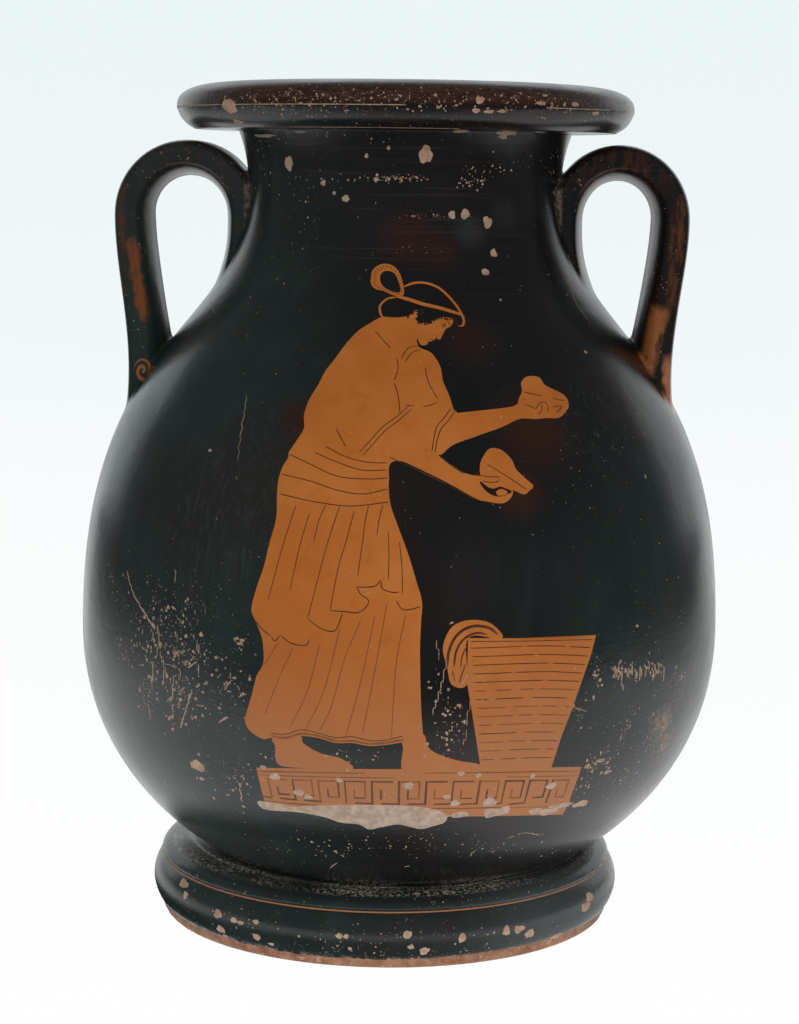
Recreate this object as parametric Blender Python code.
"""A red-figure pelike: a wide-mouthed storage jar of fired clay.

The belly, neck and lip were thrown in one, the foot was thrown apart and luted on a little off
centre, and two strap handles were pulled and pressed on. Firing made them one piece, so the
model is one solid: hollow, open at the mouth, and hollowed under the foot.

Metres, +Z up. The origin is on the belly's axis, at the level of the resting edge.
The handles lie along X and the painted front faces -Y.
"""

import math

import bmesh
import bpy

HEIGHT = 0.320
WALL = 0.005
SIDES = 56

# Belly: below its widest level it is a superellipse that would close at the drop
BELLY_RADIUS = 0.1234
BELLY_LEVEL = 0.1126
BELLY_DROP = 0.1063
BELLY_POWER = 2.08

# Shoulder and neck: one Bezier curve up to the narrowest level, then a slight flare
SHOULDER_LOWER_PULL = 0.1170
SHOULDER_UPPER_PULL = 0.0597
NECK_RADIUS = 0.0599
NECK_DROP = 0.0371
NECK_FLARE = 0.0038

# Lip: a rounded upper edge over a bevelled face, with a flat underside
LIP_OVERHANG = 0.0272
LIP_FACE_DROP = 0.0097
LIP_BEVEL_HEIGHT = 0.0079
LIP_BEVEL_SETBACK = 0.0071
LIP_BEVEL_BULGE = 0.0006
LIP_ROUNDING = 0.73
LIP_TOP_FLAT = 0.0010
MOUTH_FLARE = 0.0012
MOUTH_ROUNDING = 0.0040

# Foot: a torus on a low resting band, with a groove round its upper edge
FOOT_SHIFT = -0.0044
FOOT_REST_RADIUS = 0.0874
FOOT_BAND_RADIUS = 0.0884
FOOT_BAND_HEIGHT = 0.0037
FOOT_TORUS_BULGE = 0.0031
FOOT_TORUS_HEIGHT = 0.0168
FOOT_GROOVE_DEPTH = 0.0007
FOOT_GROOVE_WIDTH = 0.0012
FOOT_SHOULDER_HEIGHT = 0.0055
FOOT_SHOULDER_SETBACK = 0.0085
FOOT_OVERLAP = 0.0060
FOOT_RING_WIDTH = 0.0150
FOOT_HOLLOW_HEIGHT = 0.0170
FOOT_HOLLOW_CEILING = 0.0480
FLOOR_THICKNESS = 0.0090
FLOOR_ROUNDING = 0.0050

# Handles: the inner leg is pressed down the neck, the outer leg falls to the shoulder.
# A strap is flat outside and swells to a low ridge on the side of the finger hole.
HANDLE_STANDOFF = 0.0005
HANDLE_SPAN = 0.0440
HANDLE_SPRING_DROP = 0.0500
HANDLE_ARCH_RISE = 0.0231
HANDLE_LEG_LEAN = 0.0046
HANDLE_LEG_HOLLOW = 0.0032
HANDLE_INNER_LENGTH = 0.0300
HANDLE_ROOT_BURIAL = 0.0012
HANDLE_ROOT_FLARE = 0.0050
HANDLE_WIDTH = 0.0300
HANDLE_NECK_WIDTH = 0.0390
HANDLE_SHOULDER_WIDTH = 0.0390
HANDLE_EDGE = 0.0106
HANDLE_RIDGE = 0.0025
HANDLE_OUTER_POWER = 3.4
HANDLE_RIDGE_POWER = 2.0
HANDLE_SECTION_SIDES = 12
HANDLE_EXTRA_REACH = {"left": 0.0009, "right": -0.0009}

# Levels and radii that follow from the sizes above
NECK_LEVEL = HEIGHT - NECK_DROP
LIP_RADIUS = NECK_RADIUS + LIP_OVERHANG
LIP_FACE_LEVEL = HEIGHT - LIP_FACE_DROP
LIP_UNDER_LEVEL = LIP_FACE_LEVEL - LIP_BEVEL_HEIGHT
MOUTH_RADIUS = NECK_RADIUS - WALL + MOUTH_FLARE
FOOT_TORUS_TOP = FOOT_BAND_HEIGHT + FOOT_TORUS_HEIGHT
FOOT_TOP = FOOT_TORUS_TOP + FOOT_GROOVE_WIDTH + FOOT_SHOULDER_HEIGHT
BELLY_BOTTOM = FOOT_TOP - FOOT_OVERLAP
FLOOR_TOP = FOOT_HOLLOW_HEIGHT + FLOOR_THICKNESS
SPRING_LEVEL = HEIGHT - HANDLE_SPRING_DROP
HANDLE_OUTER_DEPTH = 0.5 * HANDLE_EDGE + HANDLE_ROOT_BURIAL
HANDLE_INNER_DEPTH = HANDLE_OUTER_DEPTH + HANDLE_RIDGE

CLAY_BLACK = (0.012, 0.013, 0.013, 1.0)
GLOSS_ROUGHNESS = 0.22


def clear_scene():
    for item in list(bpy.data.objects):
        bpy.data.objects.remove(item)


def bezier(p0, p1, p2, p3, steps):
    """Points along a cubic Bezier curve, both ends included."""
    points = []
    for i in range(steps + 1):
        t = i / steps
        weights = ((1 - t) ** 3, 3 * t * (1 - t) ** 2, 3 * t * t * (1 - t), t**3)
        corners = (p0, p1, p2, p3)
        points.append(tuple(sum(w * c[k] for w, c in zip(weights, corners)) for k in (0, 1)))
    return points


def lower_belly(bottom, steps):
    """Belly outline from bottom up to the widest level, with closer points where it turns in."""
    points = []
    for i in range(steps + 1):
        level = BELLY_LEVEL - (BELLY_LEVEL - bottom) * math.cos(0.5 * math.pi * i / steps)
        share = (BELLY_LEVEL - level) / BELLY_DROP
        points.append((BELLY_RADIUS * math.sqrt(1 - share**BELLY_POWER), level))
    return points


def shoulder(steps):
    """Shoulder outline from the widest level up to the narrowest point of the neck."""
    return bezier(
        (BELLY_RADIUS, BELLY_LEVEL),
        (BELLY_RADIUS, BELLY_LEVEL + SHOULDER_LOWER_PULL),
        (NECK_RADIUS, NECK_LEVEL - SHOULDER_UPPER_PULL),
        (NECK_RADIUS, NECK_LEVEL),
        steps,
    )


def neck_flare(steps):
    """The neck opening out from its narrowest point up to the lip's underside."""
    points = []
    for i in range(1, steps + 1):
        share = i / steps
        rise = (LIP_UNDER_LEVEL - NECK_LEVEL) * share
        points.append((NECK_RADIUS + NECK_FLARE * share**2, NECK_LEVEL + rise))
    return points


def lip_profile(steps):
    """Lip outline from its lower edge up its bevel and over the rounded top to the inner edge."""
    bevel_middle = LIP_RADIUS - 0.5 * LIP_BEVEL_SETBACK + LIP_BEVEL_BULGE
    inner = MOUTH_RADIUS + MOUTH_ROUNDING + LIP_TOP_FLAT
    points = [
        (LIP_RADIUS - LIP_BEVEL_SETBACK, LIP_UNDER_LEVEL),
        (bevel_middle, 0.5 * (LIP_UNDER_LEVEL + LIP_FACE_LEVEL) - LIP_BEVEL_BULGE),
    ]
    for i in range(steps):
        turn = 0.5 * math.pi * i / steps
        reach = (LIP_RADIUS - inner) * math.cos(turn) ** LIP_ROUNDING
        rise = LIP_FACE_DROP * math.sin(turn) ** LIP_ROUNDING
        points.append((inner + reach, LIP_FACE_LEVEL + rise))
    points.append((inner, HEIGHT))
    return points


def body_profile():
    """Outer form of belly, neck and lip, as a solid, from the axis at the bottom to the top."""
    outline = lower_belly(BELLY_BOTTOM, 9)[:-1] + shoulder(14) + neck_flare(2) + lip_profile(5)
    return [(0.0, BELLY_BOTTOM)] + outline + [(0.0, HEIGHT)]


def inward(points, distance):
    """The outline moved in by distance, square to its own direction."""
    moved = []
    last = len(points) - 1
    for i, (radius, level) in enumerate(points):
        ahead = points[min(i + 1, last)]
        behind = points[max(i - 1, 0)]
        run, rise = ahead[0] - behind[0], ahead[1] - behind[1]
        length = math.hypot(run, rise)
        moved.append((radius - distance * rise / length, level + distance * run / length))
    return moved


def cavity_profile():
    """Inside of the jar, from the axis at the floor up and out past the mouth."""
    outline = lower_belly(BELLY_BOTTOM, 7)[:-1] + shoulder(9)
    walls = [point for point in inward(outline, WALL) if point[1] > FLOOR_TOP + FLOOR_ROUNDING]
    low_radius, low_level = walls[0]
    slope = (walls[1][0] - low_radius) / (walls[1][1] - low_level)
    corner = low_radius - slope * (low_level - FLOOR_TOP)
    floor = [(0.0, FLOOR_TOP), (corner - FLOOR_ROUNDING, FLOOR_TOP)]
    mouth = [(MOUTH_RADIUS, HEIGHT - MOUTH_ROUNDING)]
    for turn in (math.radians(45), math.radians(90)):
        step_out = MOUTH_ROUNDING * (1 - math.cos(turn))
        mouth.append((MOUTH_RADIUS + step_out, HEIGHT - MOUTH_ROUNDING * (1 - math.sin(turn))))
    above = HEIGHT + MOUTH_ROUNDING
    return floor + walls + mouth + [(MOUTH_RADIUS + MOUTH_ROUNDING, above), (0.0, above)]


def foot_profile():
    """Outer form of the foot as a solid, from the axis at the resting level up to the belly."""
    points = [(0.0, 0.0), (FOOT_REST_RADIUS, 0.0)]
    torus_steps = 5
    for i in range(torus_steps + 1):
        share = i / torus_steps
        bulge = FOOT_TORUS_BULGE * math.sin(math.pi * share) ** 0.8 if 0 < i < torus_steps else 0.0
        points.append((FOOT_BAND_RADIUS + bulge, FOOT_BAND_HEIGHT + FOOT_TORUS_HEIGHT * share))
    groove_floor = FOOT_BAND_RADIUS - FOOT_GROOVE_DEPTH
    points.append((groove_floor, FOOT_TORUS_TOP + 0.5 * FOOT_GROOVE_WIDTH))
    shoulder_steps = 4
    for i in range(shoulder_steps + 1):
        turn = 0.5 * math.pi * i / shoulder_steps
        fall = FOOT_SHOULDER_SETBACK * (1 - math.cos(turn))
        rise = FOOT_SHOULDER_HEIGHT * math.sin(turn)
        points.append((FOOT_BAND_RADIUS - fall, FOOT_TORUS_TOP + FOOT_GROOVE_WIDTH + rise))
    points.append((0.0, FOOT_TOP))
    return points


def hollow_profile():
    """The domed hollow under the foot, from below the resting level up to its flat ceiling."""
    rim = FOOT_REST_RADIUS - FOOT_RING_WIDTH
    points = [(0.0, -FOOT_BAND_HEIGHT), (rim, -FOOT_BAND_HEIGHT)]
    steps = 4
    for i in range(steps + 1):
        turn = 0.5 * math.pi * i / steps
        reach = (rim - FOOT_HOLLOW_CEILING) * math.cos(turn)
        points.append((FOOT_HOLLOW_CEILING + reach, FOOT_HOLLOW_HEIGHT * math.sin(turn)))
    points.append((0.0, FOOT_HOLLOW_HEIGHT))
    return points


def turned(name, profile, centre=0.0):
    """A closed solid turned about the upright line at x = centre; the profile ends on the axis."""
    mesh = bpy.data.meshes.new(name)
    build = bmesh.new()
    low = build.verts.new((centre, 0.0, profile[0][1]))
    high = build.verts.new((centre, 0.0, profile[-1][1]))
    rings = []
    for radius, level in profile[1:-1]:
        ring = []
        for i in range(SIDES):
            angle = 2 * math.pi * i / SIDES
            x = centre + radius * math.cos(angle)
            ring.append(build.verts.new((x, radius * math.sin(angle), level)))
        rings.append(ring)
    for i in range(SIDES):
        j = (i + 1) % SIDES
        build.faces.new((low, rings[0][j], rings[0][i]))
        for lower, upper in zip(rings, rings[1:]):
            build.faces.new((lower[i], lower[j], upper[j], upper[i]))
        build.faces.new((high, rings[-1][i], rings[-1][j]))
    build.to_mesh(mesh)
    build.free()
    item = bpy.data.objects.new(name, mesh)
    bpy.context.scene.collection.objects.link(item)
    return item


def outer_radius(level):
    """Outer radius of belly or shoulder at a level, read from the outline."""
    outline = lower_belly(BELLY_BOTTOM, 40)[:-1] + shoulder(80)
    for (r0, z0), (r1, z1) in zip(outline, outline[1:]):
        if z0 <= level <= z1:
            return r0 + (r1 - r0) * (level - z0) / (z1 - z0)
    return outline[-1][0]


def handle_path(extra_reach):
    """Centre line of a handle as (distance from axis, level), from the neck to the shoulder."""
    inner = NECK_RADIUS + HANDLE_STANDOFF
    outer = inner + HANDLE_SPAN + extra_reach
    low = SPRING_LEVEL - HANDLE_INNER_LENGTH
    points = bezier(
        (outer_radius(low) - HANDLE_INNER_DEPTH, low),
        (inner, SPRING_LEVEL - 0.55 * HANDLE_INNER_LENGTH),
        (inner, SPRING_LEVEL - 0.30 * HANDLE_INNER_LENGTH),
        (inner, SPRING_LEVEL),
        4,
    )
    middle, half_span = 0.5 * (inner + outer), 0.5 * (outer - inner)
    arch_steps = 10
    for i in range(1, arch_steps + 1):
        turn = math.pi * i / arch_steps
        reach = middle - half_span * math.cos(turn)
        points.append((reach, SPRING_LEVEL + HANDLE_ARCH_RISE * math.sin(turn)))
    root = outer - HANDLE_LEG_LEAN
    level = SPRING_LEVEL
    while outer_radius(level) < root + HANDLE_OUTER_DEPTH and level > BELLY_LEVEL:
        level -= 0.0005
    fall = SPRING_LEVEL - level
    points += bezier(
        (outer, SPRING_LEVEL),
        (outer, SPRING_LEVEL - 0.30 * fall),
        (root - HANDLE_LEG_HOLLOW, SPRING_LEVEL - 0.62 * fall),
        (root, level),
        6,
    )[1:]
    return points


def strap(name, side, extra_reach):
    """A handle: a rounded strap section swept along its path, with its width along Y."""
    path = handle_path(extra_reach)
    mesh = bpy.data.meshes.new(name)
    build = bmesh.new()
    rings = []
    last = len(path) - 1
    for i, (reach, level) in enumerate(path):
        ahead, behind = path[min(i + 1, last)], path[max(i - 1, 0)]
        run, rise = ahead[0] - behind[0], ahead[1] - behind[1]
        length = math.hypot(run, rise)
        normal = (-rise / length, run / length)
        near_neck = max(0.0, 1 - 4 * i / last)
        near_shoulder = max(0.0, 4 * i / last - 3)
        width = HANDLE_WIDTH
        width += (HANDLE_NECK_WIDTH - HANDLE_WIDTH) * near_neck**2
        width += (HANDLE_SHOULDER_WIDTH - HANDLE_WIDTH) * near_shoulder**2
        ring = []
        for k in range(HANDLE_SECTION_SIDES):
            turn = 2 * math.pi * (k + 0.5) / HANDLE_SECTION_SIDES
            facing_hole = math.sin(turn) < 0
            power = 2 / (HANDLE_RIDGE_POWER if facing_hole else HANDLE_OUTER_POWER)
            depth = 0.5 * HANDLE_EDGE
            if facing_hole:
                depth += HANDLE_RIDGE + HANDLE_ROOT_FLARE * near_shoulder
            across = math.copysign(abs(math.cos(turn)) ** power, math.cos(turn))
            through = math.copysign(abs(math.sin(turn)) ** power, math.sin(turn))
            x = reach + depth * through * normal[0]
            z = level + depth * through * normal[1]
            ring.append(build.verts.new((side * x, 0.5 * width * across, z)))
        rings.append(ring)
    for first, second in zip(rings, rings[1:]):
        for k in range(HANDLE_SECTION_SIDES):
            n = (k + 1) % HANDLE_SECTION_SIDES
            build.faces.new((first[k], first[n], second[n], second[k]))
    build.faces.new(rings[0])
    build.faces.new(rings[-1])
    bmesh.ops.recalc_face_normals(build, faces=build.faces)
    build.to_mesh(mesh)
    build.free()
    item = bpy.data.objects.new(name, mesh)
    bpy.context.scene.collection.objects.link(item)
    return item


def combine(target, tool, operation):
    """Joins tool to target, or cuts it out, and keeps tool only as a hidden guide."""
    modifier = target.modifiers.new(tool.name, "BOOLEAN")
    modifier.operation = operation
    modifier.solver = "EXACT"
    modifier.object = tool
    tool.hide_render = True
    tool.display_type = "WIRE"


def glazed_clay():
    material = bpy.data.materials.new("black_gloss_clay")
    material.use_nodes = True
    shader = material.node_tree.nodes["Principled BSDF"]
    shader.inputs["Base Color"].default_value = CLAY_BLACK
    shader.inputs["Roughness"].default_value = GLOSS_ROUGHNESS
    shader.inputs["Metallic"].default_value = 0.0
    return material


def main():
    clear_scene()
    pelike = turned("pelike", body_profile())
    pelike.data.materials.append(glazed_clay())
    combine(pelike, turned("foot_form", foot_profile(), FOOT_SHIFT), "UNION")
    for word, side in (("left", -1), ("right", 1)):
        combine(pelike, strap("handle_form_" + word, side, HANDLE_EXTRA_REACH[word]), "UNION")
    combine(pelike, turned("cavity_form", cavity_profile()), "DIFFERENCE")
    combine(pelike, turned("foot_hollow_form", hollow_profile(), FOOT_SHIFT), "DIFFERENCE")
    pelike.data.shade_smooth()
    pelike.data.set_sharp_from_angle(angle=math.radians(35))


main()
